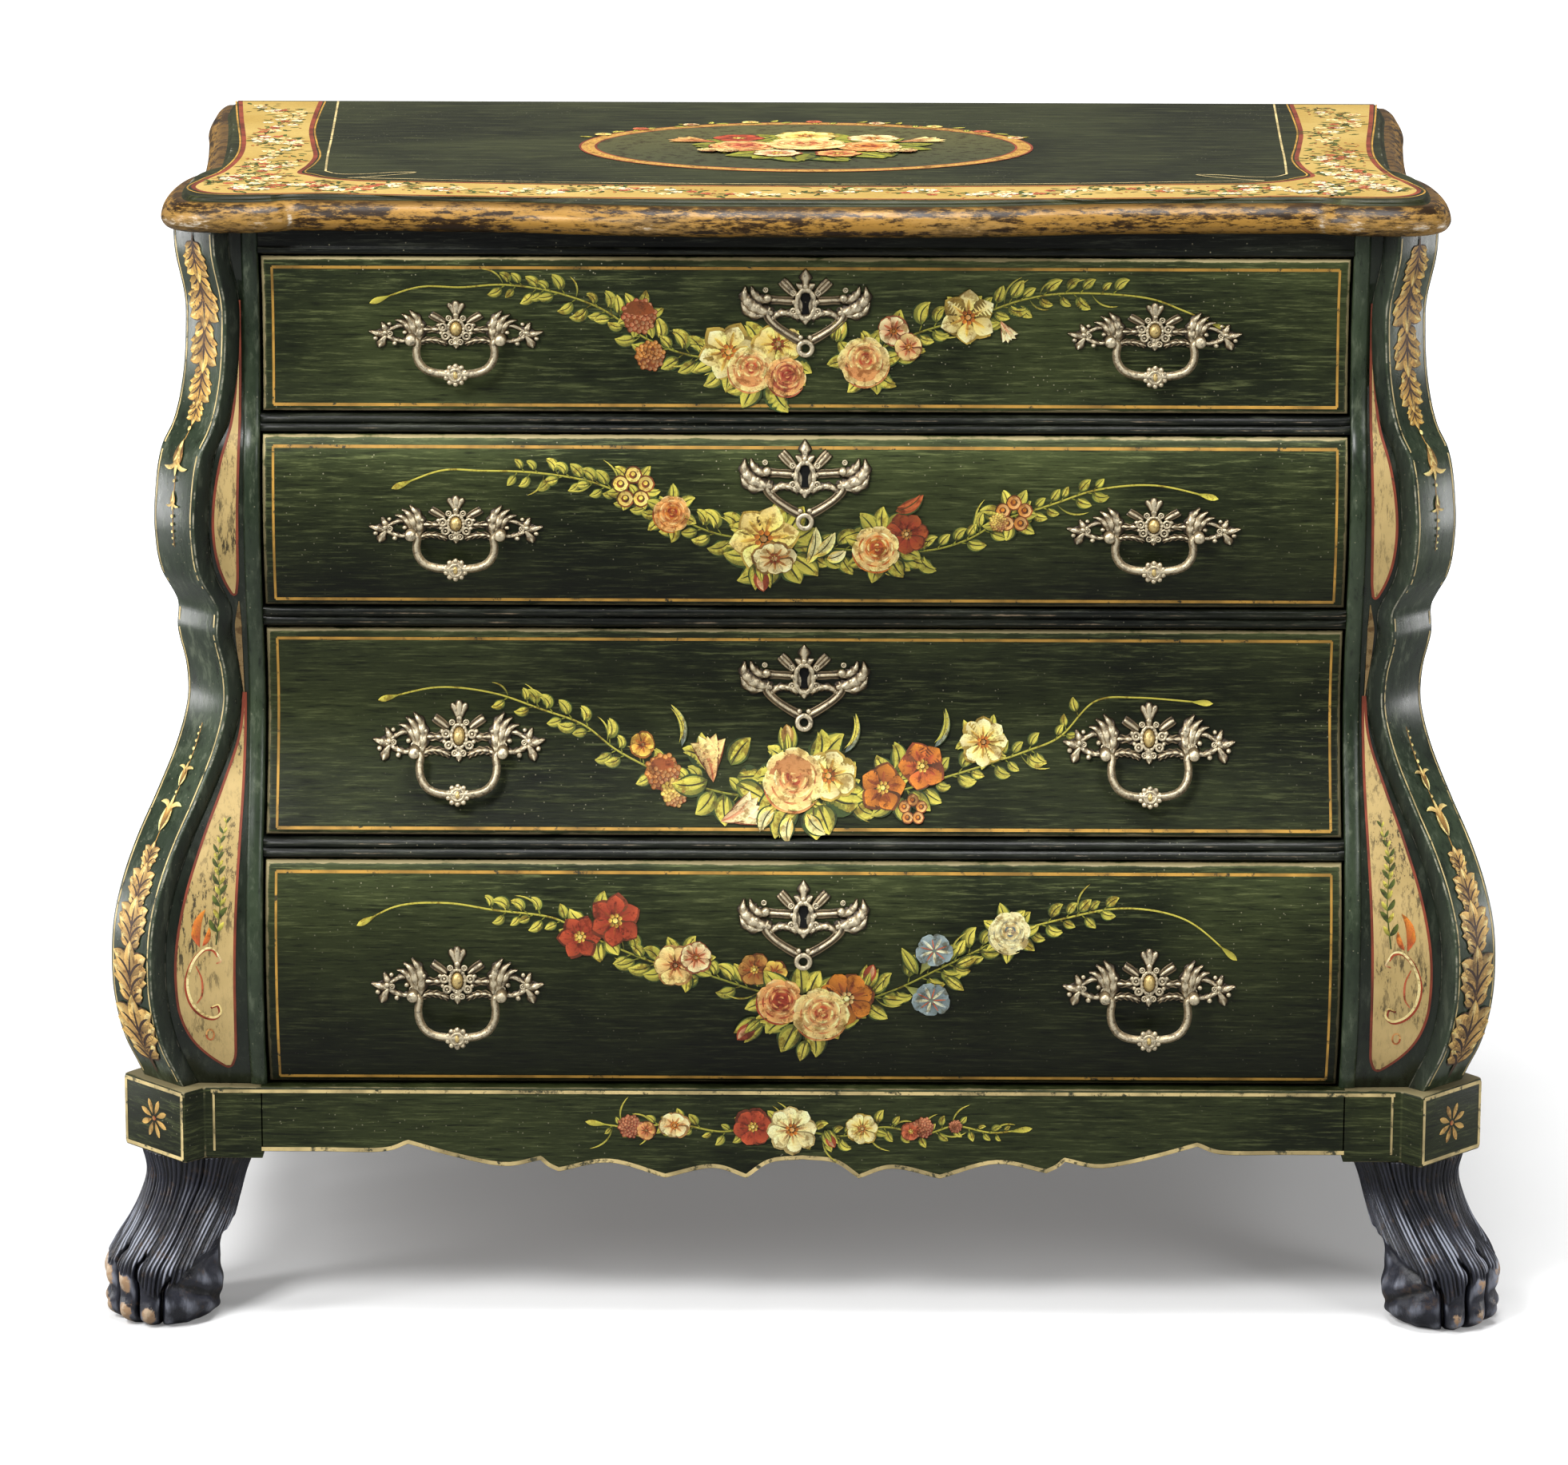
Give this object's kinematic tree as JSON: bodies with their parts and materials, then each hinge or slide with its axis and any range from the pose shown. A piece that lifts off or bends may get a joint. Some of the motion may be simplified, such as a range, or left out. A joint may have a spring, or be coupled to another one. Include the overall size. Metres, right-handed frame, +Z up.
{
  "type": "bombe chest",
  "caption": "Painted bombe chest of drawers with swelling front and sides, canted corner trusses, a serpentine top, a scrolled plinth and carved paw feet.",
  "frame": {"origin": "middle of the object's footprint, on the floor", "axes": "+X to the viewer's right when facing the drawers, +Y to the back, +Z up"},
  "size_m": [1.0398, 0.5856, 0.84],
  "materials": {
    "case_paint": "dark green-black paint, rubbed and varnished",
    "reserve_paint": "antiqued cream-yellow and ochre paint",
    "top_paint": "dark olive paint with painted border, satin",
    "foot_paint": "carved, worn dark paint over brown wood",
    "bare_wood": "bare, planed",
    "aged_brass": "cast, aged and rubbed",
    "lock_iron": "dull"
  },
  "bodies": {
    "carcass": {"top_board": "top_paint", "back_panel": "bare_wood", "carcass_bottom": "bare_wood", "top_rail": "case_paint", "plinth": "case_paint", "divider_1": "case_paint", "divider_2": "case_paint", "divider_3": "case_paint", "left_side_panel": "case_paint", "left_corner_post": "reserve_paint", "front_left_foot": "foot_paint", "rear_left_foot": "foot_paint", "right_side_panel": "case_paint", "right_corner_post": "reserve_paint", "front_right_foot": "foot_paint", "rear_right_foot": "foot_paint"},
    "left_bail_1": {"drawer_1_left_bail": "aged_brass"},
    "right_bail_1": {"drawer_1_right_bail": "aged_brass"},
    "drawer_1": {"drawer_1_front": "case_paint", "drawer_1_left_side": "bare_wood", "drawer_1_right_side": "bare_wood", "drawer_1_back": "bare_wood", "drawer_1_bottom": "bare_wood", "drawer_1_escutcheon": "aged_brass", "drawer_1_lock": "lock_iron", "drawer_1_left_pull_plate": "aged_brass", "drawer_1_right_pull_plate": "aged_brass"},
    "left_bail_2": {"drawer_2_left_bail": "aged_brass"},
    "right_bail_2": {"drawer_2_right_bail": "aged_brass"},
    "drawer_2": {"drawer_2_front": "case_paint", "drawer_2_left_side": "bare_wood", "drawer_2_right_side": "bare_wood", "drawer_2_back": "bare_wood", "drawer_2_bottom": "bare_wood", "drawer_2_escutcheon": "aged_brass", "drawer_2_lock": "lock_iron", "drawer_2_left_pull_plate": "aged_brass", "drawer_2_right_pull_plate": "aged_brass"},
    "left_bail_3": {"drawer_3_left_bail": "aged_brass"},
    "right_bail_3": {"drawer_3_right_bail": "aged_brass"},
    "drawer_3": {"drawer_3_front": "case_paint", "drawer_3_left_side": "bare_wood", "drawer_3_right_side": "bare_wood", "drawer_3_back": "bare_wood", "drawer_3_bottom": "bare_wood", "drawer_3_escutcheon": "aged_brass", "drawer_3_lock": "lock_iron", "drawer_3_left_pull_plate": "aged_brass", "drawer_3_right_pull_plate": "aged_brass"},
    "left_bail_4": {"drawer_4_left_bail": "aged_brass"},
    "right_bail_4": {"drawer_4_right_bail": "aged_brass"},
    "drawer_4": {"drawer_4_front": "case_paint", "drawer_4_left_side": "bare_wood", "drawer_4_right_side": "bare_wood", "drawer_4_back": "bare_wood", "drawer_4_bottom": "bare_wood", "drawer_4_escutcheon": "aged_brass", "drawer_4_lock": "lock_iron", "drawer_4_left_pull_plate": "aged_brass", "drawer_4_right_pull_plate": "aged_brass"}
  },
  "joints": [
    {"name": "left_bail_1_swing", "type": "hinge", "parent": "drawer_1", "child": "left_bail_1", "pos_m": [-0.254, -0.22851, 0.7345], "axis": [-1, 0, 0], "range_deg": [0, 80]},
    {"name": "right_bail_1_swing", "type": "hinge", "parent": "drawer_1", "child": "right_bail_1", "pos_m": [0.254, -0.22851, 0.7345], "axis": [-1, 0, 0], "range_deg": [0, 80]},
    {"name": "drawer_1_slide", "type": "slide", "parent": "carcass", "child": "drawer_1", "axis": [0, -1, 0], "range_m": [0, 0.36]},
    {"name": "left_bail_2_swing", "type": "hinge", "parent": "drawer_2", "child": "left_bail_2", "pos_m": [-0.254, -0.2517, 0.5945], "axis": [-1, 0, 0], "range_deg": [0, 80]},
    {"name": "right_bail_2_swing", "type": "hinge", "parent": "drawer_2", "child": "right_bail_2", "pos_m": [0.254, -0.2517, 0.5945], "axis": [-1, 0, 0], "range_deg": [0, 80]},
    {"name": "drawer_2_slide", "type": "slide", "parent": "carcass", "child": "drawer_2", "axis": [0, -1, 0], "range_m": [0, 0.36]},
    {"name": "left_bail_3_swing", "type": "hinge", "parent": "drawer_3", "child": "left_bail_3", "pos_m": [-0.254, -0.23973, 0.429], "axis": [-1, 0, 0], "range_deg": [0, 80]},
    {"name": "right_bail_3_swing", "type": "hinge", "parent": "drawer_3", "child": "right_bail_3", "pos_m": [0.254, -0.23973, 0.429], "axis": [-1, 0, 0], "range_deg": [0, 80]},
    {"name": "drawer_3_slide", "type": "slide", "parent": "carcass", "child": "drawer_3", "axis": [0, -1, 0], "range_m": [0, 0.36]},
    {"name": "left_bail_4_swing", "type": "hinge", "parent": "drawer_4", "child": "left_bail_4", "pos_m": [-0.254, -0.28537, 0.256], "axis": [-1, 0, 0], "range_deg": [0, 80]},
    {"name": "right_bail_4_swing", "type": "hinge", "parent": "drawer_4", "child": "right_bail_4", "pos_m": [0.254, -0.28537, 0.256], "axis": [-1, 0, 0], "range_deg": [0, 80]},
    {"name": "drawer_4_slide", "type": "slide", "parent": "carcass", "child": "drawer_4", "axis": [0, -1, 0], "range_m": [0, 0.36]}
  ]
}
